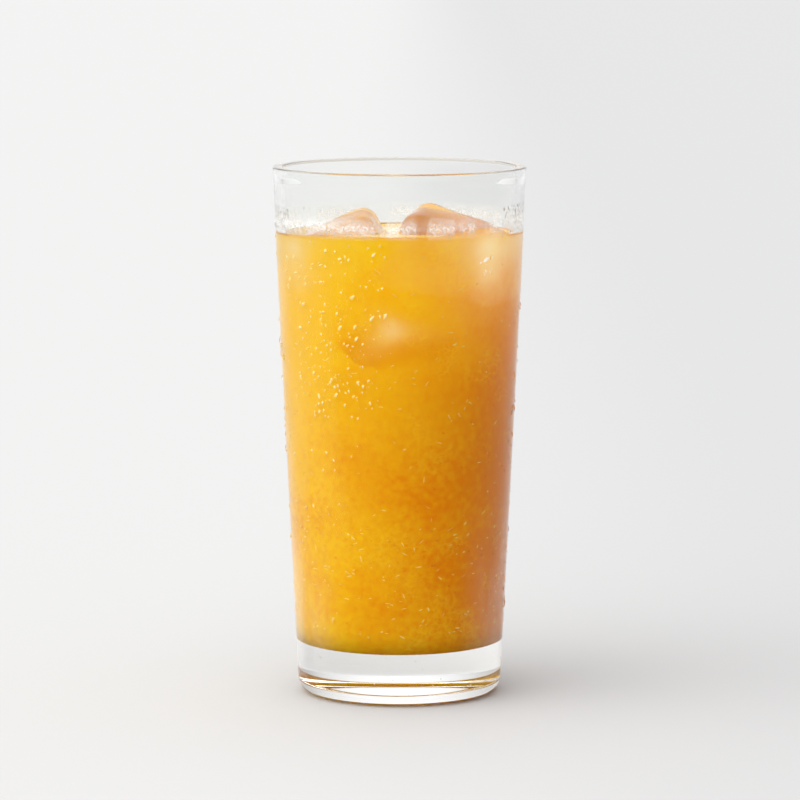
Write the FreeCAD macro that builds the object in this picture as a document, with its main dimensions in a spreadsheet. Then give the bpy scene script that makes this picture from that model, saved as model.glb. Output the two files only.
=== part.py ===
"""Tall tumbler of orange juice with two ice blocks floating in it.

Millimetres, +Z up, origin at the middle of the underside. Every driving size is a cell
of the Sizes sheet, and every sub-part is bound to those cells by expressions.
"""
import FreeCAD, Part
import os
import Sketcher
from FreeCAD import Vector

DRIVING_SIZES = {
    # tumbler
    "overall_height": 151.0,
    "rim_diameter": 72.0,
    "base_diameter": 57.8,        # of the straight wall, carried down to the underside
    "wall_thickness": 2.5,
    "bead_proud": 0.5,            # how far the fire-polished rim stands out of the wall
    "shoulder_drop": 26.3,        # from the rim down to where the taper changes
    "shoulder_inset": 1.0,        # wall at the shoulder, in from the rim
    "floor_height": 14.6,         # of the inside, above the underside
    "floor_corner": 7.0,
    "heel_fillet": 4.5,
    "punt_radius": 22.5,          # hollow of the underside, inside its foot ring
    "punt_depth": 1.0,
    "punt_slope": 1.5,
    # juice
    "freeboard": 17.4,            # from the rim down to the juice
    # ice, two blocks side by side, each with its outer front corner at the wall
    "ice_clearance": 0.1,         # between a block's square corner and the wall
    "block_gap": 3.4,             # across, between the blocks before they tilt
    "left_length": 23.0,
    "left_width": 20.0,
    "left_depth": 17.0,
    "left_rounding": 4.5,
    "left_sink": 5.5,             # middle of the block, below the juice level
    "left_yaw": -6.0,
    "left_pitch": -23.0,
    "left_roll": 8.0,
    "right_length": 26.0,
    "right_width": 22.0,
    "right_depth": 22.0,
    "right_rounding": 5.0,
    "right_across": 12.7,         # middle of the block, right of the tumbler's axis
    "right_sink": 6.8,
    "right_yaw": -12.0,
    "right_pitch": 18.0,
    "right_roll": 10.0,
}

# radii and heights that several features share, as expressions on the sheet
RIM_RADIUS = "Sizes.rim_diameter / 2"
BEAD_RADIUS = "(Sizes.wall_thickness + Sizes.bead_proud) / 2"
BEAD_CENTRE = f"{RIM_RADIUS} - {BEAD_RADIUS}"
BEAD_HEIGHT = f"Sizes.overall_height - {BEAD_RADIUS}"
SHOULDER_HEIGHT = "Sizes.overall_height - Sizes.shoulder_drop"
SHOULDER_RADIUS = f"{RIM_RADIUS} - Sizes.shoulder_inset"
BASE_RADIUS = "Sizes.base_diameter / 2"
LEVEL = "Sizes.overall_height - Sizes.freeboard"
INNER_RIM = f"{RIM_RADIUS} - Sizes.bead_proud - Sizes.wall_thickness"
INNER_SHOULDER = f"{SHOULDER_RADIUS} - Sizes.wall_thickness"
INNER_FLOOR = (
    f"{BASE_RADIUS} - Sizes.wall_thickness"
    f" + ({SHOULDER_RADIUS} - {BASE_RADIUS}) * Sizes.floor_height / ({SHOULDER_HEIGHT})"
)
LEVEL_SHARE = f"({BEAD_HEIGHT} - ({LEVEL})) / ({BEAD_HEIGHT} - ({SHOULDER_HEIGHT}))"
INNER_LEVEL = f"{INNER_RIM} - ({INNER_RIM} - ({INNER_SHOULDER})) * {LEVEL_SHARE}"


def from_axis(side):
    """How far a block's middle is from the tumbler's axis, with its corner at the wall."""
    corner_reach = f"sqrt((Sizes.{side}_length / 2) ^ 2 + (Sizes.{side}_width / 2) ^ 2)"
    return f"({INNER_LEVEL} - {corner_reach} - Sizes.ice_clearance)"


# where each block's middle lies to the right of the tumbler's axis
ACROSS = {
    "left": "(Sizes.right_across - (Sizes.left_length + Sizes.right_length) / 2 - Sizes.block_gap)",
    "right": "Sizes.right_across",
}

ROOT_POINT = (-1, 1)
VERTICAL_AXIS = -2
START, END, CENTRE = 1, 2, 3


def make_sheet(doc):
    """One row for each driving size: its name, and its value under that name."""
    sheet = doc.addObject("Spreadsheet::Sheet", "Sizes")
    for row, (alias, value) in enumerate(DRIVING_SIZES.items(), start=1):
        sheet.set(f"A{row}", alias)
        sheet.set(f"B{row}", str(value))
        sheet.setAlias(f"B{row}", alias)
    doc.recompute()
    return sheet


def attach(sketch, body, role):
    """Lay a sketch on one of its body's own origin planes."""
    plane = next(item for item in body.Origin.OriginFeatures if item.Role == role)
    sketch.AttachmentSupport = [(plane, "")]
    sketch.MapMode = "FlatFace"


def bind(sketch, kind, place, name, expression):
    """Add one named dimension to a sketch and tie it to the sheet."""
    value = float(sketch.evalExpression(expression))
    index = sketch.addConstraint(Sketcher.Constraint(kind, *place, value))
    sketch.renameConstraint(index, name)
    sketch.setExpression(f"Constraints.{name}", expression)


def draw_outline(sketch, corners):
    """Join corners, each a name and two expressions, by lines. The outline stays open."""
    spots = [
        Vector(float(sketch.evalExpression(across)), float(sketch.evalExpression(up)), 0)
        for _, across, up in corners
    ]
    lines = [
        sketch.addGeometry(Part.LineSegment(first, second), False)
        for first, second in zip(spots, spots[1:])
    ]
    for line, following in zip(lines, lines[1:]):
        sketch.addConstraint(Sketcher.Constraint("Coincident", line, END, following, START))
    ends = [(line, START) for line in lines] + [(lines[-1], END)]
    for end, (name, across, up) in zip(ends, corners):
        if across == "0":
            sketch.addConstraint(Sketcher.Constraint("PointOnObject", *end, VERTICAL_AXIS))
        else:
            bind(sketch, "DistanceX", (*ROOT_POINT, *end), name + "_radius", across)
        if up == "0":
            sketch.addConstraint(Sketcher.Constraint("Horizontal", *ROOT_POINT, *end))
        else:
            bind(sketch, "DistanceY", (*ROOT_POINT, *end), name + "_height", up)
    return lines


def close_outline(sketch, lines):
    """Join the last corner back to the first by a line."""
    first, last = sketch.Geometry[lines[0]].StartPoint, sketch.Geometry[lines[-1]].EndPoint
    closing = sketch.addGeometry(Part.LineSegment(last, first), False)
    sketch.addConstraint(Sketcher.Constraint("Coincident", lines[-1], END, closing, START))
    sketch.addConstraint(Sketcher.Constraint("Coincident", closing, END, lines[0], START))


def turn(body, kind, sketch):
    """Spin a sketch once round the body's vertical axis, to add or to remove."""
    feature = body.newObject(kind, sketch.Name + "Turned")
    feature.Profile = (sketch, [""])
    feature.ReferenceAxis = (sketch, ["V_Axis"])
    feature.Angle = 360.0
    sketch.Document.recompute()
    return feature


def round_circle(body, name, radius, height, size):
    """Fillet the level circle of a body that has the given radius and height."""
    base = body.Tip
    wanted_radius = float(base.evalExpression(radius))
    wanted_height = float(base.evalExpression(height))

    def miss(edge):
        circle = edge.Curve
        return abs(circle.Radius - wanted_radius) + abs(circle.Center.z - wanted_height)

    circles = [
        (miss(edge), number)
        for number, edge in enumerate(base.Shape.Edges, start=1)
        if edge.Curve.TypeId == "Part::GeomCircle"
    ]
    fillet = body.newObject("PartDesign::Fillet", name)
    fillet.Base = (base, [f"Edge{min(circles)[1]}"])
    fillet.setExpression("Radius", size)
    body.Document.recompute()
    return fillet


def make_tumbler(doc):
    """Clear glass: tapered wall, thick hollowed base and a beaded rim, all one piece."""
    body = doc.addObject("PartDesign::Body", "tumbler")
    sketch = body.newObject("Sketcher::SketchObject", "TumblerSection")
    attach(sketch, body, "XZ_Plane")
    outside = draw_outline(sketch, [
        ("punt_middle", "0", "Sizes.punt_depth"),
        ("punt_edge", "Sizes.punt_radius - Sizes.punt_slope", "Sizes.punt_depth"),
        ("foot", "Sizes.punt_radius", "0"),
        ("heel", BASE_RADIUS, "0"),
        ("shoulder", SHOULDER_RADIUS, SHOULDER_HEIGHT),
        ("bead_foot", f"{RIM_RADIUS} - Sizes.bead_proud",
         f"{BEAD_HEIGHT} - sqrt(({BEAD_RADIUS}) ^ 2 - ({BEAD_RADIUS} - Sizes.bead_proud) ^ 2)"),
    ])
    inside = draw_outline(sketch, [
        ("inner_rim", INNER_RIM, BEAD_HEIGHT),
        ("inner_shoulder", INNER_SHOULDER, SHOULDER_HEIGHT),
        ("inner_floor", INNER_FLOOR, "Sizes.floor_height"),
        ("floor_middle", "0", "Sizes.floor_height"),
    ])
    bead_foot = sketch.Geometry[outside[-1]].EndPoint
    inner_rim = sketch.Geometry[inside[0]].StartPoint
    top = Vector(
        float(sketch.evalExpression(BEAD_CENTRE)),
        float(sketch.evalExpression("Sizes.overall_height")),
        0,
    )
    bead = sketch.addGeometry(Part.Arc(bead_foot, top, inner_rim), False)
    sketch.addConstraint(Sketcher.Constraint("Coincident", bead, START, outside[-1], END))
    sketch.addConstraint(Sketcher.Constraint("Coincident", bead, END, inside[0], START))
    bind(sketch, "DistanceX", (*ROOT_POINT, bead, CENTRE), "bead_centre", BEAD_CENTRE)
    axis_line = sketch.addGeometry(Part.LineSegment(
        sketch.Geometry[inside[-1]].EndPoint, sketch.Geometry[outside[0]].StartPoint), False)
    sketch.addConstraint(Sketcher.Constraint("Coincident", axis_line, START, inside[-1], END))
    sketch.addConstraint(Sketcher.Constraint("Coincident", axis_line, END, outside[0], START))
    turn(body, "PartDesign::Revolution", sketch)
    round_circle(body, "HeelFillet", BASE_RADIUS, "0", "Sizes.heel_fillet")
    round_circle(body, "FloorFillet", INNER_FLOOR, "Sizes.floor_height", "Sizes.floor_corner")
    return body


def make_block(doc, side):
    """One melted ice block: a padded rectangle with every edge rounded, tilted as it floats."""
    body = doc.addObject("PartDesign::Body", f"ice_{side}")
    sketch = body.newObject("Sketcher::SketchObject", f"Block{side.title()}Section")
    attach(sketch, body, "XY_Plane")
    sketch.setExpression("AttachmentOffset.Base.z", f"-Sizes.{side}_depth / 2")
    half_length = f"Sizes.{side}_length / 2"
    half_width = f"Sizes.{side}_width / 2"
    close_outline(sketch, draw_outline(sketch, [
        ("near_left", f"-{half_length}", f"-{half_width}"),
        ("near_right", half_length, f"-{half_width}"),
        ("far_right", half_length, half_width),
        ("far_left", f"-{half_length}", half_width),
    ]))
    pad = body.newObject("PartDesign::Pad", f"Block{side.title()}Pad")
    pad.Profile = (sketch, [""])
    pad.setExpression("Length", f"Sizes.{side}_depth")
    doc.recompute()
    fillet = body.newObject("PartDesign::Fillet", f"Block{side.title()}Rounding")
    fillet.Base = (pad, [""])
    fillet.UseAllEdges = True
    fillet.setExpression("Radius", f"Sizes.{side}_rounding")
    across = ACROSS[side]
    forward = f"sqrt({from_axis(side)} ^ 2 - {across} ^ 2)"
    body.setExpression(
        "Placement",
        f"placement(vector({across}; -{forward}; {LEVEL} - Sizes.{side}_sink);"
        f" rotation(Sizes.{side}_yaw; Sizes.{side}_pitch; Sizes.{side}_roll))",
    )
    doc.recompute()
    return body


def make_juice(doc, blocks):
    """Juice filling the inside of the tumbler to its level, cut round the ice blocks."""
    body = doc.addObject("PartDesign::Body", "JuiceFill")
    inside = body.newObject("Sketcher::SketchObject", "InsideSection")
    attach(inside, body, "XZ_Plane")
    close_outline(inside, draw_outline(inside, [
        ("floor_middle", "0", "Sizes.floor_height"),
        ("inner_floor", INNER_FLOOR, "Sizes.floor_height"),
        ("inner_shoulder", INNER_SHOULDER, SHOULDER_HEIGHT),
        ("inner_rim", INNER_RIM, BEAD_HEIGHT),
        ("mouth_middle", "0", BEAD_HEIGHT),
    ]))
    turn(body, "PartDesign::Revolution", inside)
    round_circle(body, "JuiceFloorFillet", INNER_FLOOR, "Sizes.floor_height", "Sizes.floor_corner")
    full = body.Shape.Volume
    empty = body.newObject("Sketcher::SketchObject", "EmptySection")
    attach(empty, body, "XZ_Plane")
    close_outline(empty, draw_outline(empty, [
        ("level_middle", "0", LEVEL),
        ("level_edge", RIM_RADIUS, LEVEL),
        ("top_edge", RIM_RADIUS, "Sizes.overall_height"),
        ("top_middle", "0", "Sizes.overall_height"),
    ]))
    turn(body, "PartDesign::Groove", empty)
    if body.Shape.Volume >= full:
        raise RuntimeError("the groove above the juice level removed nothing")
    ice = doc.addObject("Part::Compound", "IceTogether")
    ice.Links = blocks
    juice = doc.addObject("Part::Cut", "juice")
    juice.Base = body
    juice.Tool = ice
    doc.recompute()
    return juice


def check_document(doc, parts):
    """Stop if any object failed to build or any sub-part is not one valid solid."""
    for item in doc.Objects:
        if {"Invalid", "Error"} & set(item.State):
            raise RuntimeError(f"{item.Name} did not build: {item.State}")
    for part in parts:
        shape = part.Shape
        if shape.isNull() or not shape.isValid() or len(shape.Solids) != 1:
            raise RuntimeError(f"{part.Label} is not one valid solid")


def main():
    doc = FreeCAD.newDocument("TumblerOfJuice")
    make_sheet(doc)
    tumbler = make_tumbler(doc)
    blocks = [make_block(doc, side) for side in ("left", "right")]
    juice = make_juice(doc, blocks)
    parts = [tumbler, juice, *blocks]
    doc.recompute()
    check_document(doc, parts)
    os.makedirs("parts", exist_ok=True)
    for part in parts:
        part.Shape.exportStep(os.path.join("parts", f"{part.Label}.step"))
        print(part.Label, round(part.Shape.Volume, 1), "mm3")


main()
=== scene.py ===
import math
import random

import bmesh
import bpy
from mathutils import Matrix, Vector, noise
from mathutils.bvhtree import BVHTree


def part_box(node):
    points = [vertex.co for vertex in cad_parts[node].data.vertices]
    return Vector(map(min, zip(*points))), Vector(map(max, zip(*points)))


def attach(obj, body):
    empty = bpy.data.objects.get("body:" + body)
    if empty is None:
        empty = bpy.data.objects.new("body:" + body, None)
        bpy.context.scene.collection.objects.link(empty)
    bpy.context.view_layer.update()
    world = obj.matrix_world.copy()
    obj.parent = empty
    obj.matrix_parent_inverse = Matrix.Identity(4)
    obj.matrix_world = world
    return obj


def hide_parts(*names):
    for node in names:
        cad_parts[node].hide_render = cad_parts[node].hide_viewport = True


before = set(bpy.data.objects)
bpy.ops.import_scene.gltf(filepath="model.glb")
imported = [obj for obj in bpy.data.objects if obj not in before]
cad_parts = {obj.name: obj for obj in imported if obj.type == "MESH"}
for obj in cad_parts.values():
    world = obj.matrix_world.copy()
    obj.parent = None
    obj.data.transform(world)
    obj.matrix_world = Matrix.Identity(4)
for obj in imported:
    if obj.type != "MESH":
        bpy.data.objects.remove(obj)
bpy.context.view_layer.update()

# everything below is placed from these: the glass, the fill and its level
_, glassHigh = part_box("tumbler")
juiceLow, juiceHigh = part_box("juice")
glassHeight = glassHigh.z
rimRadius = glassHigh.x
level = juiceHigh.z
floorHeight = juiceLow.z
mm = 0.001


def makePiece(name, bm, materials, smooth=True):
    mesh = bpy.data.meshes.new(name)
    bmesh.ops.recalc_face_normals(bm, faces=bm.faces)
    if bm.calc_volume(signed=True) < 0:
        bmesh.ops.reverse_faces(bm, faces=bm.faces[:])
    for face in bm.faces:
        face.smooth = smooth
    bm.to_mesh(mesh)
    bm.free()
    for material in materials:
        mesh.materials.append(material)
    piece = bpy.data.objects.new(name, mesh)
    bpy.context.scene.collection.objects.link(piece)
    return piece


def addToGlass(piece, slot, *nodes):
    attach(piece, "root")
    for node in nodes:
        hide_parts(node)
    print(piece.name, "made,", len(piece.data.polygons), "faces")


def spinOutline(bm, corners, turns, longest):
    # corners: (radius, height, rounding radius, rounding steps)
    verts = [bm.verts.new((radius, 0, height)) for radius, height, _, _ in corners]
    for first, second in zip(verts, verts[1:]):
        bm.edges.new((first, second))
    for vert, (_, _, rounding, steps) in zip(verts, corners):
        if rounding:
            before, after = [edge.other_vert(vert).co - vert.co for edge in vert.link_edges]
            setBack = rounding / math.tan(before.angle(after) / 2)
            bmesh.ops.bevel(bm, geom=[vert], offset=setBack, segments=steps, affect="VERTICES",
                            profile=0.5, material=-1)
    for edge in [edge for edge in bm.edges if edge.calc_length() > longest]:
        bmesh.ops.subdivide_edges(bm, edges=[edge], cuts=int(edge.calc_length() / longest))
    bmesh.ops.spin(bm, geom=bm.verts[:] + bm.edges[:], cent=(0, 0, 0), axis=(0, 0, 1),
                   angle=math.tau, steps=turns, use_merge=True, use_duplicate=False)
    bmesh.ops.remove_doubles(bm, verts=bm.verts, dist=1e-7)


def applied(piece):
    # the mesh as its modifiers leave it
    graph = bpy.context.evaluated_depsgraph_get()
    mesh = bpy.data.meshes.new_from_object(piece.evaluated_get(graph))
    piece.modifiers.clear()
    piece.data = mesh
    return piece


def smoothStep(low, high, value):
    share = min(1, max(0, (value - low) / (high - low)))
    return share * share * (3 - 2 * share)


def bearingOf(place):
    # degrees round the glass from the front, to the right
    return math.degrees(math.atan2(place.x, -place.y))


def paintPoints(piece, name, values):
    layer = piece.data.attributes.new(name, "FLOAT", "POINT")
    layer.data.foreach_set("value", values)


def newMaterial(name):
    material = bpy.data.materials.new(name)
    material.use_nodes = True
    tree = material.node_tree
    shader = tree.nodes["Principled BSDF"]
    return material, tree, shader


def addNode(tree, kind, settings=None, **inputs):
    node = tree.nodes.new(kind)
    for key, value in (settings or {}).items():
        setattr(node, key, value)
    for key, value in inputs.items():
        socket = node.inputs[int(key[1:]) if key[0] == "i" and key[1:].isdigit() else key]
        if isinstance(value, bpy.types.NodeSocket):
            tree.links.new(value, socket)
        else:
            socket.default_value = value
    return node


def mathNode(tree, operation, first, second=0.0, third=0.0, clamp=False):
    node = addNode(tree, "ShaderNodeMath", {"operation": operation, "use_clamp": clamp},
                   i0=first, i1=second, i2=third)
    return node.outputs[0]


def mixColours(tree, share, first, second):
    node = addNode(tree, "ShaderNodeMix", {"data_type": "RGBA"}, i0=share, i6=first, i7=second)
    return node.outputs[2]


def ramp(tree, value, low, high, start=0.0, end=1.0):
    node = addNode(tree, "ShaderNodeMapRange", {"interpolation_type": "SMOOTHSTEP"},
                   i0=value, i1=low, i2=high, i3=start, i4=end)
    return node.outputs[0]


def noiseValue(tree, place, scale, detail=2.0, roughness=0.5):
    node = addNode(tree, "ShaderNodeTexNoise", Vector=place, Scale=scale, Detail=detail,
                   Roughness=roughness)
    return node.outputs[0]


def attribute(tree, name):
    return addNode(tree, "ShaderNodeAttribute", {"attribute_name": name}).outputs["Fac"]


def objectPlace(tree):
    return addNode(tree, "ShaderNodeTexCoord").outputs["Object"]


def pulpGroup():
    # cloudiness and fibres of unstrained juice, shared by every juice material
    group = bpy.data.node_groups.new("pulpInJuice", "ShaderNodeTree")
    sockets = [("Place", "INPUT", "NodeSocketVector"), ("Cloud Scale", "INPUT", "NodeSocketFloat"),
               ("Fibre Scale", "INPUT", "NodeSocketFloat"), ("Cloud", "OUTPUT", "NodeSocketFloat"),
               ("Mottle", "OUTPUT", "NodeSocketFloat"), ("Fibre", "OUTPUT", "NodeSocketFloat")]
    for name, direction, kind in sockets:
        group.interface.new_socket(name, in_out=direction, socket_type=kind)
    given = group.nodes.new("NodeGroupInput")
    result = group.nodes.new("NodeGroupOutput")
    cloud = noiseValue(group, given.outputs["Place"], given.outputs["Cloud Scale"], 3.0, 0.55)
    mottle = noiseValue(group, given.outputs["Place"], given.outputs["Fibre Scale"], 4.0, 0.7)
    bend = addNode(group, "ShaderNodeTexNoise", Vector=given.outputs["Place"], Scale=260.0, Detail=2.0)
    bent = addNode(group, "ShaderNodeVectorMath", {"operation": "MULTIPLY_ADD"},
                   i0=bend.outputs["Color"], i1=(0.0035, 0.0035, 0.0035), i2=given.outputs["Place"])
    cells = addNode(group, "ShaderNodeTexVoronoi", {"feature": "DISTANCE_TO_EDGE"},
                    Vector=bent.outputs[0], Scale=given.outputs["Fibre Scale"])
    fibre = ramp(group, cells.outputs["Distance"], 0.0, 0.09, 1.0, 0.0)
    patchy = ramp(group, noiseValue(group, given.outputs["Place"], 90.0, 2.0), 0.47, 0.66)
    group.links.new(cloud, result.inputs["Cloud"])
    group.links.new(mottle, result.inputs["Mottle"])
    group.links.new(mathNode(group, "MULTIPLY", fibre, patchy), result.inputs["Fibre"])
    return group


# the tumbler: a straight taper, a shoulder, a small outward bead and a heavy base
tumbler = {
    "wall": 2.5 * mm,
    "beadProud": 0.5 * mm,
    "shoulderDrop": 26.3 * mm,
    "shoulderInset": 1.0 * mm,
    "baseRadius": 28.9 * mm,
    "heelFillet": 4.5 * mm,
    "floorCorner": 7.0 * mm,
    "puntRadius": 22.5 * mm,
    "puntDepth": 1.0 * mm,
    "puntSlope": 1.5 * mm,
    "puntEdge": 1.2 * mm,
    "footEdge": 0.5 * mm,
    "softShoulder": 60 * mm,
    "flareInset": 0.24 * mm,
    "flareDrop": 4.6 * mm,
    "flareRounding": 30 * mm,
    "beadDrop": 1.9 * mm,
    "beadRounding": 8 * mm,
    "lipOutside": 0.6 * mm,
    "lipInside": 0.9 * mm,
    "turns": 180,
    "longestEdge": 2.5 * mm,
    "ior": 1.5,
    "tint": (0.974, 0.980, 0.971, 1),
    "glint": 0.08,
    "lipShadeTint": (0.60, 0.57, 0.50, 1),
    "lipClear": 0.86,
    "lipHeight": 1.2 * mm,
    "lipTilt": 0.25,
}
shoulderHeight = glassHeight - tumbler["shoulderDrop"]
shoulderRadius = rimRadius - tumbler["shoulderInset"]


def outerRadius(height):
    # of the glass wall, straight below and above the shoulder
    if height < shoulderHeight:
        share = height / shoulderHeight
        return tumbler["baseRadius"] + (shoulderRadius - tumbler["baseRadius"]) * share
    share = (height - shoulderHeight) / (glassHeight - shoulderHeight)
    return shoulderRadius + (rimRadius - tumbler["beadProud"] - shoulderRadius) * share


def innerRadius(height):
    return outerRadius(height) - tumbler["wall"]


def makeTumbler(materials):
    t = tumbler
    innerRim = rimRadius - t["wall"] - t["beadProud"]
    bm = bmesh.new()
    spinOutline(bm, [
        (0, t["puntDepth"], 0, 0),
        (t["puntRadius"] - t["puntSlope"], t["puntDepth"], t["puntEdge"], 4),
        (t["puntRadius"], 0, t["footEdge"], 3),
        (t["baseRadius"], 0, t["heelFillet"], 14),
        (shoulderRadius, shoulderHeight, t["softShoulder"], 6),
        (rimRadius - t["flareInset"], glassHeight - t["flareDrop"], t["flareRounding"], 6),
        (rimRadius, glassHeight - t["beadDrop"], t["beadRounding"], 4),
        (rimRadius, glassHeight, t["lipOutside"], 7),
        (innerRim, glassHeight, t["lipInside"], 8),
        (shoulderRadius - t["wall"], shoulderHeight, t["softShoulder"], 6),
        (innerRadius(floorHeight), floorHeight, t["floorCorner"], 14),
        (0, floorHeight, 0, 0),
    ], t["turns"], t["longestEdge"])
    piece = makePiece("tumblerGlass", bm, materials)
    # painted shade: faces on top of the lip take the second glass, tinted grey-brown and less clear,
    # which darkens the rim's top
    for face in piece.data.polygons:
        lip = face.center.z > glassHeight - t["lipHeight"] and face.normal.z > t["lipTilt"]
        face.material_index = 1 if lip else 0
    return piece


def clearGlass(name, tint, transmission, roughness):
    material, _, shader = newMaterial(name)
    shader.inputs["Base Color"].default_value = tint
    shader.inputs["IOR"].default_value = tumbler["ior"]
    shader.inputs["Transmission Weight"].default_value = transmission
    glint = tumbler["glint"]
    shader.inputs["Specular Tint"].default_value = (glint, glint, glint, 1)
    shader.inputs["Roughness"].default_value = roughness
    return material


iceLook = {
    "ripple": 0.45 * mm,
    "rippleScale": 120,
    "cuts": 14,
    "juiceBite": 0.12 * mm,
    "clear": (0.97, 0.95, 0.85, 1),
    "wetWithJuice": (0.90, 0.72, 0.20, 1),
    "patchScale": 150.0,
    "frostScale": 420.0,
    "frostDepth": 0.3 * mm,
    "transmission": 0.90,
    "ior": 1.31,
    "wallGap": 0.8 * mm,
}
floatingIce = [
    {"node": "ice_left", "name": "floatingIceLeft", "size": (23.0 * mm, 20.0 * mm, 17.0 * mm),
     "rounding": 4.5 * mm, "turn": (8.0, -23.0, -6.0), "seed": 3.1, "fade": 3.5 * mm},
    {"node": "ice_right", "name": "floatingIceRight", "size": (26.0 * mm, 22.0 * mm, 22.0 * mm),
     "rounding": 5.0 * mm, "turn": (10.0, 18.0, -12.0), "seed": 7.7, "fade": 6.2 * mm},
]
# blocks held under by the others; inset is from the inside of the wall to the middle, and a block
# that would still touch the wall is moved in to leave wallGap
sunkIce = [
    {"name": "sunkIceFront", "size": (20.0 * mm, 19.0 * mm, 18.0 * mm), "rounding": 4.0 * mm,
     "turn": (45.0, 6.0, 31.0), "bearing": -2.0, "height": 107.5 * mm, "inset": 13.6 * mm,
     "seed": 11.4, "fade": 1.6 * mm},
    {"name": "sunkIceRear", "size": (24.0 * mm, 20.0 * mm, 19.0 * mm), "rounding": 4.5 * mm,
     "turn": (12.0, -30.0, 35.0), "bearing": 172.0, "height": 112.0 * mm, "inset": 12.0 * mm,
     "seed": 15.2, "fade": 3.0 * mm},
]


def turned(rollPitchYaw):
    roll, pitch, yaw = (math.radians(value) for value in rollPitchYaw)
    return (Matrix.Rotation(yaw, 4, "Z") @ Matrix.Rotation(pitch, 4, "Y")
            @ Matrix.Rotation(roll, 4, "X"))


def iceMesh(block, centre, shrink=0):
    bm = bmesh.new()
    bmesh.ops.create_cube(bm, size=1)
    bmesh.ops.scale(bm, vec=block["size"], verts=bm.verts)
    bmesh.ops.bevel(bm, geom=bm.edges[:], offset=block["rounding"], segments=6, affect="EDGES",
                    profile=0.5, material=-1)
    flat = [edge for edge in bm.edges if edge.calc_length() > 2 * mm]
    bmesh.ops.subdivide_edges(bm, edges=flat, cuts=iceLook["cuts"], use_grid_fill=True)
    bmesh.ops.remove_doubles(bm, verts=bm.verts, dist=1e-6)
    bm.normal_update()
    for vert in bm.verts:
        wave = noise.noise(vert.co * iceLook["rippleScale"] + Vector((block["seed"], 0, 0)))
        vert.co += vert.normal * (wave * iceLook["ripple"] - shrink)
    bmesh.ops.transform(bm, matrix=Matrix.Translation(centre) @ turned(block["turn"]), verts=bm.verts)
    return bm


def centreOf(block):
    if "node" in block:
        low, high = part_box(block["node"])
        return (low + high) / 2
    bearing = math.radians(block["bearing"])
    outward = Vector((math.sin(bearing), -math.cos(bearing), 0))
    radius = innerRadius(block["height"]) - block["inset"]
    centre = outward * radius + Vector((0, 0, block["height"]))
    bm = iceMesh(block, centre)
    reach = max(math.hypot(vert.co.x, vert.co.y) - innerRadius(vert.co.z) for vert in bm.verts)
    bm.free()
    return centre - outward * max(0, reach + iceLook["wallGap"])


def clearIce():
    material, tree, shader = newMaterial("clearIce")
    place = objectPlace(tree)
    wet = ramp(tree, noiseValue(tree, place, iceLook["patchScale"], 3.0, 0.6), 0.34, 0.50)
    tree.links.new(mixColours(tree, wet, iceLook["clear"], iceLook["wetWithJuice"]),
                   shader.inputs["Base Color"])
    frost = noiseValue(tree, place, iceLook["frostScale"], 4.0, 0.65)
    tree.links.new(ramp(tree, frost, 0.42, 0.72, 0.03, 0.28), shader.inputs["Roughness"])
    bump = addNode(tree, "ShaderNodeBump", Strength=0.35, Distance=iceLook["frostDepth"], Height=frost)
    tree.links.new(bump.outputs[0], shader.inputs["Normal"])
    shader.inputs["IOR"].default_value = iceLook["ior"]
    shader.inputs["Transmission Weight"].default_value = iceLook["transmission"]
    return material


juice = {
    "intoWall": 0.12 * mm,
    "turns": 230,
    "edge": 0.85 * mm,
    "restDrop": 1.15 * mm,
    "sideDip": 1.0 * mm,
    "wallMeniscus": 1.0 * mm,
    "wallMeniscusReach": 1.6 * mm,
    "iceMeniscus": 0.8 * mm,
    "iceMeniscusReach": 1.2 * mm,
    "climb": 2.2 * mm,
    "pocketPale": 0.15,
    # painted light: emission glow in the ice pockets, on the upper right side, and more where ice is near
    # the wall
    "pocketGlow": 0.05,
    "sunGlow": 0.34,
    "iceGlow": 0.42,
    "wallSkin": 0.3 * mm,
    "pocketSkin": 0.4 * mm,
    "noIceDepth": 1.0,
    "meniscusShadeReach": 0.3 * mm,
    "meniscusShadeShare": 0.7,
    "shadeShare": 0.55,
    "fibreShare": 0.42,
    "cloudScale": 42.0,
    "fibreScale": 520.0,
    # painted light in the juice colour: the yellow share low and high up, and its shift across X towards
    # the lit left side
    "yellowLow": 0.41,
    "yellowHigh": 0.76,
    "paintedLitSideAcross": -18.0,
    "bright": (0.985, 0.605, 0.008, 1),
    "deep": (0.87, 0.285, 0.001, 1),
    "overIce": (0.985, 0.83, 0.50, 1),
    "fibre": (0.98, 0.66, 0.03, 1),
    "froth": (0.80, 0.47, 0.05, 1),
    # painted shade on the liquid's top: shares toward the deep amber and toward black
    "topDeeper": 0.2,
    "topShade": 0.3,
    "paintedShadowRed": (0.84, 0.30, 0.001, 1),
    "sac": (0.98, 0.74, 0.17, 1),
    "glow": 0.5,
    "topIor": 1.34,
}


def surfaceRise(radius, bearing, iceGap):
    # meniscus at the wall and round the ice, and the climb between the right block and the wall
    wallGap = max(0, innerRadius(level) - radius)
    rise = juice["wallMeniscus"] * math.exp(-wallGap / juice["wallMeniscusReach"])
    rise += juice["iceMeniscus"] * math.exp(-max(0, iceGap) / juice["iceMeniscusReach"])
    climbing = smoothStep(18, 46, bearing) * (1 - smoothStep(50, 66, bearing))
    rise -= juice["sideDip"] * smoothStep(25, 90, abs(bearing)) * smoothStep(12 * mm, 0, wallGap)
    return rise - juice["restDrop"] + juice["climb"] * climbing * smoothStep(9 * mm, 1 * mm, wallGap)


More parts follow.
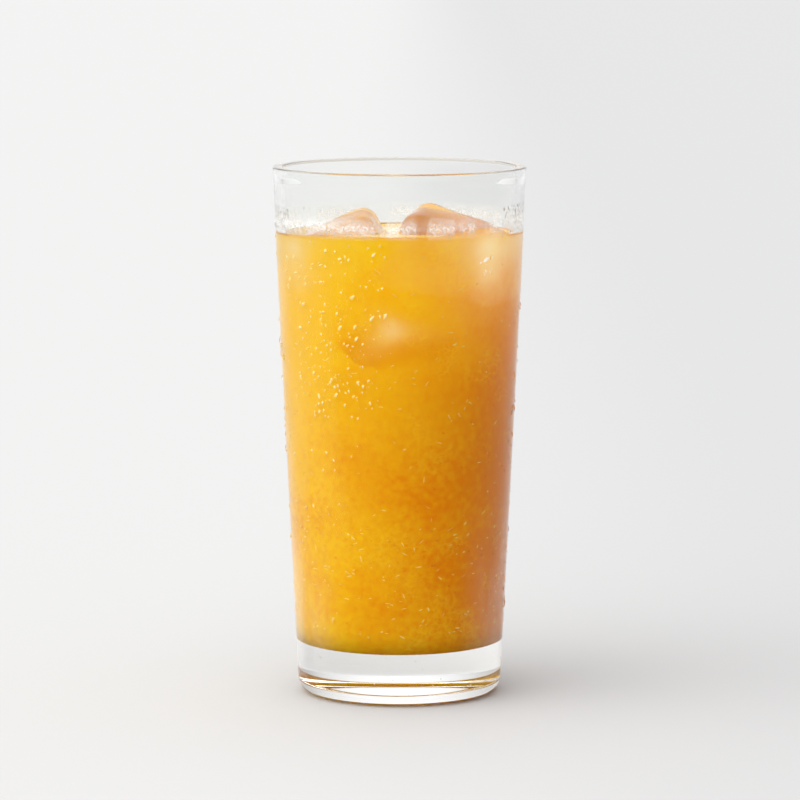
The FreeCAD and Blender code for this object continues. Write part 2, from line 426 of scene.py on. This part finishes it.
def makeJuice(materials, iceTrees, cutters):
    j = juice
    bm = bmesh.new()
    topRadius = innerRadius(level) + j["intoWall"]
    spinOutline(bm, [
        (0, floorHeight - j["intoWall"], 0, 0),
        (innerRadius(floorHeight) + j["intoWall"], floorHeight - j["intoWall"],
         tumbler["floorCorner"], 12),
        (shoulderRadius - tumbler["wall"] + j["intoWall"], shoulderHeight, tumbler["softShoulder"], 5),
        (topRadius, level, 0, 0),
        (0, level, 0, 0),
    ], j["turns"], j["edge"])
    for vert in bm.verts:
        if vert.co.z > level - 1e-6:
            radius = math.hypot(vert.co.x, vert.co.y)
            iceGap = min(tree.find_nearest(vert.co)[3] for tree in iceTrees)
            vert.co.z += surfaceRise(radius, bearingOf(vert.co), iceGap)
    piece = makePiece("juiceBody", bm, materials)
    for number, cutter in enumerate(cutters):
        cut = piece.modifiers.new(f"pocket{number}", "BOOLEAN")
        cut.operation = "DIFFERENCE"
        cut.solver = "MANIFOLD"
        cut.object = cutter
    piece = applied(piece)
    shadeJuice(piece, iceTrees)
    return piece


def shadeJuice(piece, iceTrees):
    # how thick the juice is in front of each block, a painted shadow under the sunk blocks, how near the
    # liquid's edge a point is for a painted shade line there, and a painted glow
    j = juice
    close, shade, edge, glow = [], [], [], []
    for vert in piece.data.vertices:
        place = vert.co.copy()
        radius = math.hypot(place.x, place.y)
        inward = Vector((-place.x, -place.y, 0)).normalized()
        atWall = radius > innerRadius(place.z) - j["wallSkin"]
        depths = [j["noIceDepth"]] * len(iceTrees)
        if atWall:
            hits = [tree.ray_cast(place, inward)[3] for tree in iceTrees]
            depths = [j["noIceDepth"] if hit is None else hit for hit in hits]
        nears = [tree.find_nearest(place)[3] for tree in iceTrees]
        near = min(nears)
        depth = min(depths)
        close.append(max(math.exp(-min(deep, 1.8 * gap) / block["fade"])
                         for deep, gap, block in zip(depths, nears, floatingIce + sunkIce)))
        inPocket = not atWall and near < j["pocketSkin"]
        if inPocket:
            close[-1] = j["pocketPale"]
        # painted light: a glow on the upper right of the juice, stronger where ice is near the wall, and
        # a faint one in the ice pockets
        sunlit = smoothStep(70 * mm, 128 * mm, place.z) * smoothStep(-34 * mm, 30 * mm, place.x)
        glow.append(j["pocketGlow"] if inPocket else (j["sunGlow"] + j["iceGlow"] * close[-1]) * sunlit)
        # painted shadow: darker, redder juice where ice lies 1.2 to 13 mm behind the wall, below about
        # 110 mm, under the sunk blocks
        under = smoothStep(110 * mm, 101 * mm, place.z)
        shade.append(smoothStep(1.2 * mm, 4 * mm, depth) * smoothStep(13 * mm, 7 * mm, depth) * under)
        # painted shade: nearness to the liquid's edge at the wall, for a darker line there
        top = level + surfaceRise(innerRadius(level), bearingOf(place), j["noIceDepth"])
        edge.append(math.exp(-abs(top - place.z) / j["meniscusShadeReach"]))
    paintPoints(piece, "iceClose", close)
    paintPoints(piece, "iceShade", shade)
    paintPoints(piece, "meniscusShade", edge)
    paintPoints(piece, "glow", glow)
    for face in piece.data.polygons:
        upward = face.normal.z > 0.35 and face.center.z > level - j["restDrop"] - 1.2 * mm
        outward = math.hypot(face.center.x, face.center.y) > innerRadius(face.center.z) - 0.1 * mm
        face.material_index = 1 if upward and not outward else 0


def juiceColour(tree, pulp):
    # painted light: yellower and brighter near the top and on the lit left side, deeper amber low down
    # and on the shaded right; near the top partly also juice paled by melting ice
    place = objectPlace(tree)
    pulpNode = addNode(tree, "ShaderNodeGroup", {"node_tree": pulp})
    tree.links.new(place, pulpNode.inputs["Place"])
    pulpNode.inputs["Cloud Scale"].default_value = juice["cloudScale"]
    pulpNode.inputs["Fibre Scale"].default_value = juice["fibreScale"]
    axes = addNode(tree, "ShaderNodeSeparateXYZ", i0=place)
    # painted light: the rise with height and the shift across X stand in for light from above and from
    # the left
    topLightAndMelt = ramp(tree, axes.outputs["Z"], 64 * mm, 122 * mm, juice["yellowLow"], juice["yellowHigh"])
    paintedLitSide = mathNode(tree, "MULTIPLY_ADD", axes.outputs["X"], juice["paintedLitSideAcross"], topLightAndMelt)
    cloudy = mathNode(tree, "SUBTRACT", pulpNode.outputs["Cloud"], 0.5)
    settled = ramp(tree, axes.outputs["Z"], 60 * mm, 100 * mm, 1.5, 0.55)
    grain = mathNode(tree, "SUBTRACT", pulpNode.outputs["Mottle"], 0.5)
    mottled = mathNode(tree, "MULTIPLY", grain, settled)
    yellow = mathNode(tree, "ADD", mathNode(tree, "ADD", paintedLitSide, cloudy), mottled, clamp=True)
    colour = mixColours(tree, yellow, juice["deep"], juice["bright"])
    return colour, pulpNode


def addGlow(tree, shader, colour, amount):
    # painted light: the juice glows by emission, standing in for daylight that has come down through the
    # ice and the liquid
    glow = mixColours(tree, amount, (0, 0, 0, 1), colour)
    tree.links.new(glow, shader.inputs["Emission Color"])
    shader.inputs["Emission Strength"].default_value = juice["glow"]


def juiceSide(pulp):
    material, tree, shader = newMaterial("juiceSide")
    colour, pulpNode = juiceColour(tree, pulp)
    # painted shadow: juice under the sunk ice is mixed toward a darker red
    shade = mathNode(tree, "MULTIPLY", attribute(tree, "iceShade"), juice["shadeShare"])
    colour = mixColours(tree, shade, colour, juice["paintedShadowRed"])
    broken = ramp(tree, pulpNode.outputs["Cloud"], 0.3, 0.62, 0.55, 1.0)
    over = mathNode(tree, "MULTIPLY", attribute(tree, "iceClose"), broken)
    colour = mixColours(tree, over, colour, juice["overIce"])
    fibre = mathNode(tree, "MULTIPLY", pulpNode.outputs["Fibre"], juice["fibreShare"])
    colour = mixColours(tree, fibre, colour, juice["fibre"])
    # painted shade: a deep amber line along the liquid's edge at the wall
    edge = mathNode(tree, "MULTIPLY", attribute(tree, "meniscusShade"), juice["meniscusShadeShare"])
    colour = mixColours(tree, edge, colour, juice["deep"])
    tree.links.new(colour, shader.inputs["Base Color"])
    addGlow(tree, shader, colour, attribute(tree, "glow"))
    shader.inputs["Roughness"].default_value = 0.6
    shader.inputs["Specular IOR Level"].default_value = 0.0
    return material


def juiceTop(pulp):
    material, tree, shader = newMaterial("juiceTop")
    colour, pulpNode = juiceColour(tree, pulp)
    frothy = ramp(tree, pulpNode.outputs["Cloud"], 0.36, 0.58, 0.45, 0.9)
    # painted shade: the top is pulled toward deep amber and darkened toward black, holding down the
    # strong light from above
    colour = mixColours(tree, juice["topDeeper"], colour, juice["deep"])
    shadedTop = mixColours(tree, juice["topShade"], colour, (0, 0, 0, 1))
    colour = mixColours(tree, frothy, shadedTop, juice["froth"])
    tree.links.new(colour, shader.inputs["Base Color"])
    bump = addNode(tree, "ShaderNodeBump", Strength=0.4, Distance=0.4 * mm,
                   Height=pulpNode.outputs["Mottle"])
    tree.links.new(bump.outputs[0], shader.inputs["Normal"])
    shader.inputs["Roughness"].default_value = 0.08
    shader.inputs["IOR"].default_value = juice["topIor"]
    return material


def wallMatrix(bearing, height, stand, lean, radiusAt=outerRadius):
    # x along the wall, y up it, z out of it
    angle = math.radians(bearing)
    radius = radiusAt(height) + stand
    slope = math.atan((radiusAt(height + mm) - radiusAt(height - mm)) / (2 * mm))
    place = Matrix.Translation((radius * math.sin(angle), -radius * math.cos(angle), height))
    facing = Matrix.Rotation(angle, 4, "Z") @ Matrix.Rotation(math.pi / 2 + slope, 4, "X")
    return place @ facing @ Matrix.Rotation(math.radians(lean), 4, "Z")


blobMesh = bpy.data.meshes.new("blob")


def addBlob(bm, matrix, size, sides, rings, base=1.0):
    # an ellipsoid in a mesh of its own, then added; its lower half is pressed flat by base
    blob = bmesh.new()
    bmesh.ops.create_uvsphere(blob, u_segments=sides, v_segments=rings, radius=1)
    bmesh.ops.scale(blob, vec=size, verts=blob.verts)
    for vert in blob.verts:
        if vert.co.z < 0:
            vert.co.z *= base
    bmesh.ops.transform(blob, matrix=matrix, verts=blob.verts)
    blob.to_mesh(blobMesh)
    blob.free()
    bm.from_mesh(blobMesh)


drops = {
    "base": 0.08,
    "leanSpread": 22,
    "ior": 1.33,
    "clearTint": (1, 1, 1, 1),
    "amberTint": (0.97, 0.66, 0.24, 1),
    "paleCloudAndHighlight": (0.90, 0.73, 0.34, 1),
    "amberCloudAndHighlight": (0.88, 0.58, 0.15, 1),
    # count, bearing from/to, height from/to (mm), half-width from/to (mm), tallness, lean
    "frosted": [
        (90, -66, -6, 100, 132, 0.17, 0.42, 2.0, -40),
        (60, -62, -12, 82, 100, 0.15, 0.40, 1.7, -30),
        (30, -78, -20, 45, 82, 0.14, 0.34, 1.7, 0),
        (200, -60, -8, 84, 131, 0.07, 0.15, 1.4, -30),
        (110, -62, 60, 133, 137, 0.08, 0.24, 1.0, 0),
        (60, 100, 260, 40, 132, 0.18, 0.5, 1.4, 0),
        (40, -70, 80, 100, 136, 0.08, 0.16, 1.2, 0),
    ],
    "amber": [
        (70, -60, 70, 22, 52, 0.16, 0.46, 0.7, -25),
        (50, 10, 78, 30, 85, 0.14, 0.42, 0.7, -20),
        (60, -75, -30, 40, 90, 0.10, 0.28, 1.2, -20),
        (60, 105, 255, 24, 80, 0.15, 0.45, 0.8, 0),
    ],
    "clear": [
        (150, -95, -55, 134, 140, 0.12, 0.42, 1.5, 0),
        (190, 55, 98, 133, 141, 0.12, 0.42, 1.5, 0),
        (220, 100, 260, 20, 138, 0.15, 0.60, 1.3, 0),
        (70, -100, 100, 2, 24, 0.10, 0.30, 1.0, 0),
        (60, 72, 100, 20, 132, 0.20, 0.75, 1.6, 0),
        (60, -100, -72, 20, 132, 0.20, 0.75, 1.6, 0),
        (300, -85, -15, 40, 132, 0.07, 0.15, 1.1, 0),
        (160, -98, -62, 133, 140, 0.06, 0.16, 1.6, 0),
        (160, 62, 98, 133, 140, 0.06, 0.16, 1.6, 0),
        (260, -30, 90, 20, 110, 0.06, 0.14, 1.1, 0),
    ],
}


def makeDrops(name, finish, material, seed):
    rng = random.Random(seed)
    bm = bmesh.new()
    for count, left, right, bottom, top, small, large, tall, lean in drops[finish]:
        for _ in range(count):
            half = (small + (large - small) * rng.random() ** 2.2) * mm
            stretch = tall * rng.uniform(0.75, 1.25)
            matrix = wallMatrix(rng.uniform(left, right), rng.uniform(bottom, top) * mm, 0,
                                lean + rng.gauss(0, drops["leanSpread"]))
            sides, rings = (12, 8) if half > 0.35 * mm else (8, 5)
            addBlob(bm, matrix, (half, half * stretch, half * rng.uniform(0.45, 0.7)), sides, rings,
                    drops["base"])
    return makePiece(name, bm, [material])


def waterClear(name, tint):
    material, _, shader = newMaterial(name)
    shader.inputs["Base Color"].default_value = tint
    shader.inputs["Roughness"].default_value = 0.0
    shader.inputs["IOR"].default_value = drops["ior"]
    shader.inputs["Transmission Weight"].default_value = 1
    return material


def cloudyLitWater():
    # beads paler than the juice behind them: a milky colour for the fog scattering in them, with the
    # window's highlight painted in
    material, tree, shader = newMaterial("cloudyLitWater")
    place = objectPlace(tree)
    cloud = ramp(tree, noiseValue(tree, place, 700.0, 3.0), 0.35, 0.65)
    tree.links.new(mixColours(tree, cloud, drops["paleCloudAndHighlight"], drops["amberCloudAndHighlight"]),
                   shader.inputs["Base Color"])
    tree.links.new(ramp(tree, cloud, 0.0, 1.0, 0.2, 0.4), shader.inputs["Roughness"])
    shader.inputs["IOR"].default_value = drops["ior"]
    shader.inputs["Transmission Weight"].default_value = 0.2
    return material


mist = {
    "stand": 0.012 * mm,
    "thickness": 0.02 * mm,
    "low": 6 * mm,
    "high": 146 * mm,
    "colour": (0.93, 0.93, 0.92, 1),
    "paintedMistGlow": 0.32,
    "thickest": 0.30,
    "band": 2.1,
    "bandAtSides": -0.4,
    "leftFog": 0.08,
    "lowFog": 0.22,
}


def makeMist(material):
    # fine condensation, a closed film on the outside of the wall
    m = mist
    bm = bmesh.new()
    near = m["stand"]
    far = near + m["thickness"]
    spinOutline(bm, [
        (outerRadius(m["low"]) + near, m["low"], 0, 0),
        (outerRadius(m["low"]) + far, m["low"], 0, 0),
        (shoulderRadius + far, shoulderHeight, tumbler["softShoulder"], 6),
        (outerRadius(m["high"]) + far, m["high"], 0, 0),
        (outerRadius(m["high"]) + near, m["high"], 0, 0),
        (shoulderRadius + near, shoulderHeight, tumbler["softShoulder"], 6),
        (outerRadius(m["low"]) + near, m["low"], 0, 0),
    ], tumbler["turns"], 4 * mm)
    piece = makePiece("mistFilm", bm, [material])
    amounts = []
    for vert in piece.data.vertices:
        bearing = bearingOf(vert.co)
        height = vert.co.z / mm
        band = smoothStep(132.3, 133.6, height) * (1 - smoothStep(134.5, 140, height))
        sides = smoothStep(35, 85, abs(bearing))
        leftFog = smoothStep(-5, -45, bearing) * (0.35 + 0.65 * sides)
        leftFog *= (1 - smoothStep(118, 133, height)) * smoothStep(30, 60, height)
        lowFog = (1 - smoothStep(30, 62, height)) * smoothStep(30, 75, abs(bearing))
        amounts.append(max(band * (m["band"] + m["bandAtSides"] * sides),
                           leftFog * m["leftFog"], lowFog * m["lowFog"]))
    paintPoints(piece, "mistAmount", amounts)
    return piece


def fineMist():
    material, tree, shader = newMaterial("fineMist")
    place = objectPlace(tree)
    runs = addNode(tree, "ShaderNodeMapping", Vector=place, Scale=(1.0, 1.0, 0.12))
    wiped = ramp(tree, noiseValue(tree, runs.outputs[0], 130.0, 2.0), 0.40, 0.52, 0.3, 1.0)
    speckle = ramp(tree, noiseValue(tree, place, 1500.0, 3.0, 0.7), 0.40, 0.65, 0.45, 1.0)
    amount = mathNode(tree, "MULTIPLY", attribute(tree, "mistAmount"), wiped)
    alpha = mathNode(tree, "MULTIPLY", mathNode(tree, "MULTIPLY", amount, speckle), mist["thickest"])
    tree.links.new(alpha, shader.inputs["Alpha"])
    shader.inputs["Base Color"].default_value = mist["colour"]
    # painted light: the mist glows by emission, standing in for light scattered in its fine droplets
    shader.inputs["Emission Color"].default_value = mist["colour"]
    shader.inputs["Emission Strength"].default_value = mist["paintedMistGlow"]
    shader.inputs["Roughness"].default_value = 1.0
    shader.inputs["Specular IOR Level"].default_value = 0.0
    return material


pulp = {
    "seed": 5,
    "count": 520,
    "lowShare": 0.62,
    "thick": 0.18 * mm,
    "proud": 0.13 * mm,
}


def makePulp(material):
    rng = random.Random(pulp["seed"])
    bm = bmesh.new()
    for _ in range(pulp["count"]):
        low = rng.random() < pulp["lowShare"]
        height = rng.uniform(20, 52) if low else rng.uniform(48, 128)
        length = rng.uniform(0.35, 1.15) * mm
        width = rng.uniform(0.14, 0.34) * mm
        stand = juice["intoWall"] + pulp["proud"] * rng.uniform(0.2, 1) - pulp["thick"]
        matrix = wallMatrix(rng.uniform(-180, 180), height * mm, stand, rng.gauss(90, 50), innerRadius)
        addBlob(bm, matrix, (width, length, pulp["thick"]), 8, 6)
    return makePiece("pulpSacs", bm, [material])


def pulpFlesh(pulpTree):
    material, tree, shader = newMaterial("pulpFlesh")
    colour, pulpNode = juiceColour(tree, pulpTree)
    paler = ramp(tree, pulpNode.outputs["Mottle"], 0.35, 0.65, 0.45, 0.95)
    tree.links.new(mixColours(tree, paler, colour, juice["sac"]), shader.inputs["Base Color"])
    shader.inputs["Roughness"].default_value = 0.6
    shader.inputs["Specular IOR Level"].default_value = 0.0
    return material


bubbles = {
    "seed": 19,
    "wallCount": 110,
    "iceCount": 120,
    "mostTries": 20000,
    "wallReach": 1.2 * mm,
    "iceReach": 2.2 * mm,
    "base": 0.1,
}


def makeBubbles(material, iceTrees):
    # foam beads on the liquid, along the wall and round the blocks
    rng = random.Random(bubbles["seed"])
    bm = bmesh.new()
    placed = 0
    for _ in range(bubbles["mostTries"]):
        if placed == bubbles["wallCount"] + bubbles["iceCount"]:
            break
        bearing = rng.uniform(-180, 180)
        nearWall = placed < bubbles["wallCount"]
        half = (0.15 + 0.5 * rng.random() ** 3) * mm
        reach = rng.expovariate(1 / bubbles["wallReach"]) if nearWall else rng.uniform(0, 28 * mm)
        radius = innerRadius(level) - half - reach
        if radius < 0:
            continue
        angle = math.radians(bearing)
        place = Vector((radius * math.sin(angle), -radius * math.cos(angle), level))
        iceGap = min(tree.find_nearest(place)[3] for tree in iceTrees)
        if iceGap < half or (not nearWall and iceGap > bubbles["iceReach"]):
            continue
        place.z += surfaceRise(radius, bearing, iceGap)
        addBlob(bm, Matrix.Translation(place), (half, half, half * 0.75), 10, 6, bubbles["base"])
        placed += 1
    return makePiece("foamBeads", bm, [material])


trapped = {
    "bearing": 46.0,
    "height": 126.4 * mm,
    "seed": 23,
    "proud": 0.10 * mm,
    "specks": 9,
    "silver": (0.99, 0.97, 0.93, 1),
    "paintedHighlight": (1, 0.97, 0.9, 1),
    "paintedHighlightStrength": 0.35,
}


def makeTrapped(material):
    # air caught between the right block and the wall
    rng = random.Random(trapped["seed"])
    bm = bmesh.new()
    t = trapped
    stand = juice["intoWall"] + t["proud"]
    # across, up, half-length, half-width (mm), lean
    blobs = [(0.0, 0.0, 2.1, 0.85, 62), (2.2, 0.5, 0.45, 0.4, 0), (-2.0, -0.7, 0.5, 0.35, 40)]
    for _ in range(t["specks"]):
        blobs.append((rng.uniform(-1.8, 2.6), rng.uniform(-4.4, -2.6), rng.uniform(0.15, 0.35),
                      rng.uniform(0.12, 0.28), rng.uniform(0, 90)))
    for across, up, long, wide, lean in blobs:
        bearing = t["bearing"] + math.degrees(across * mm / innerRadius(t["height"]))
        thick = min(0.6, wide) * mm
        matrix = wallMatrix(bearing, t["height"] + up * mm, stand - thick, -lean, innerRadius)
        addBlob(bm, matrix, (wide * mm, long * mm, thick), 12, 8)
    return makePiece("trappedAir", bm, [material])


def silverAir():
    material, tree, shader = newMaterial("silverAir")
    sparkle = noiseValue(tree, objectPlace(tree), 900.0, 2.0)
    tree.links.new(ramp(tree, sparkle, 0.4, 0.6, 0.12, 0.35), shader.inputs["Roughness"])
    shader.inputs["Base Color"].default_value = trapped["silver"]
    shader.inputs["Metallic"].default_value = 0.3
    # painted highlight: the trapped air glows a little by emission, for the white reflection on it
    shader.inputs["Emission Color"].default_value = trapped["paintedHighlight"]
    shader.inputs["Emission Strength"].default_value = trapped["paintedHighlightStrength"]
    return material


pulpTree = pulpGroup()
# the second glass is painted shade for the lip: grey-brown and less clear
glassMaterials = [clearGlass("clearGlass", tumbler["tint"], 1.0, 0.0),
                  clearGlass("shadedLip", tumbler["lipShadeTint"], tumbler["lipClear"], 0.1)]
iceMaterial = clearIce()
waterMaterial = waterClear("waterClear", drops["clearTint"])
juiceMaterials = [juiceSide(pulpTree), juiceTop(pulpTree)]

addToGlass(makeTumbler(glassMaterials), "clear_glass", "tumbler")

iceTrees, cutters = [], []
for block in floatingIce + sunkIce:
    centre = centreOf(block)
    piece = makePiece(block["name"], iceMesh(block, centre), [iceMaterial])
    addToGlass(piece, "clear_ice", *[block[key] for key in ["node"] if key in block])
    bm = iceMesh(block, centre, iceLook["juiceBite"])
    iceTrees.append(BVHTree.FromBMesh(bm))
    if "node" in block:
        cutters.append(makePiece("cutter" + block["name"], bm, []))
    else:
        bm.free()
floatingTrees = iceTrees[:len(floatingIce)]
juiceBody = makeJuice(juiceMaterials, iceTrees, cutters)
for cutter in cutters:
    bpy.data.objects.remove(cutter)
addToGlass(juiceBody, "orange_juice", "juice")
addToGlass(makePulp(pulpFlesh(pulpTree)), "orange_juice")
addToGlass(makeBubbles(waterMaterial, floatingTrees), "orange_juice")
addToGlass(makeTrapped(silverAir()), "clear_ice")
addToGlass(makeDrops("condensationDrops", "clear", waterMaterial, 41), "clear_ice")
addToGlass(makeDrops("cloudyDrops", "frosted", cloudyLitWater(), 43), "clear_ice")
amber = waterClear("waterAmber", drops["amberTint"])
addToGlass(makeDrops("amberDrops", "amber", amber, 47), "clear_ice")
addToGlass(makeMist(fineMist()), "clear_ice")

studio = {
    "floorRadius": 30.0,
    "floorLitLeft": (0.49, 0.49, 0.488, 1),
    "floorShadedRight": (0.435, 0.435, 0.437, 1),
    "cameraPlace": (0.00017, -1.245, 0.2375),
    "cameraDown": 0.1227,
    "lens": 197.55,
    # direction, sharpness, brightness
    "window": ((-0.72, -0.40, 0.60), 4.0, 2.65),
    "ceiling": ((0.0, 0.0, 1.0), 2.0, 1.3),
    "frontFill": ((-0.35, -0.85, 0.45), 3.0, 0.8),
    "backdrop": ((0.0, 1.0, 0.1), 3.0, 0.65),
    "room": 0.4,
    "bounces": 20,
    "glossyBounces": 14,
    "glassBounces": 16,
}


def makeFloor():
    bm = bmesh.new()
    bmesh.ops.create_circle(bm, cap_ends=True, segments=96, radius=studio["floorRadius"])
    material, tree, shader = newMaterial("floorPaper")
    # painted light: the floor paper is lighter on the left, towards the window, and darker to the right
    across = addNode(tree, "ShaderNodeSeparateXYZ", i0=objectPlace(tree))
    share = ramp(tree, across.outputs["X"], -0.07, 0.16)
    tree.links.new(mixColours(tree, share, studio["floorLitLeft"], studio["floorShadedRight"]),
                   shader.inputs["Base Color"])
    shader.inputs["Roughness"].default_value = 0.9
    shader.inputs["Specular IOR Level"].default_value = 0.1
    floor = makePiece("studioFloor", bm, [material], smooth=False)


def makeLight():
    world = bpy.data.worlds.new("studioLight")
    bpy.context.scene.world = world
    world.use_nodes = True
    tree = world.node_tree
    direction = addNode(tree, "ShaderNodeTexCoord").outputs["Generated"]
    total = studio["room"]
    for name in ("window", "ceiling", "frontFill", "backdrop"):
        towards, sharpness, brightness = studio[name]
        facing = addNode(tree, "ShaderNodeVectorMath", {"operation": "DOT_PRODUCT"},
                         i0=direction, i1=Vector(towards).normalized())
        lobe = mathNode(tree, "POWER", mathNode(tree, "MAXIMUM", facing.outputs["Value"], 0.0), sharpness)
        total = mathNode(tree, "MULTIPLY_ADD", lobe, brightness, total)
    tree.links.new(total, tree.nodes["Background"].inputs["Strength"])
    tree.nodes["Background"].inputs["Color"].default_value = (1, 1, 1, 1)


def makeCamera():
    camera = bpy.data.objects.new("camera", bpy.data.cameras.new("camera"))
    camera.location = studio["cameraPlace"]
    camera.rotation_euler = (math.pi / 2 - studio["cameraDown"], 0, 0)
    camera.data.lens = studio["lens"]
    camera.data.sensor_width = 36
    camera.data.clip_end = 100
    bpy.context.scene.collection.objects.link(camera)
    bpy.context.scene.camera = camera


makeFloor()
makeLight()
makeCamera()
bpy.context.scene.view_settings.view_transform = "Standard"
# light guided along the thick wall needs many bounces, or the wall's edges go black
bpy.context.scene.cycles.max_bounces = studio["bounces"]
bpy.context.scene.cycles.glossy_bounces = studio["glossyBounces"]
bpy.context.scene.cycles.transmission_bounces = studio["glassBounces"]
print("studio ready")
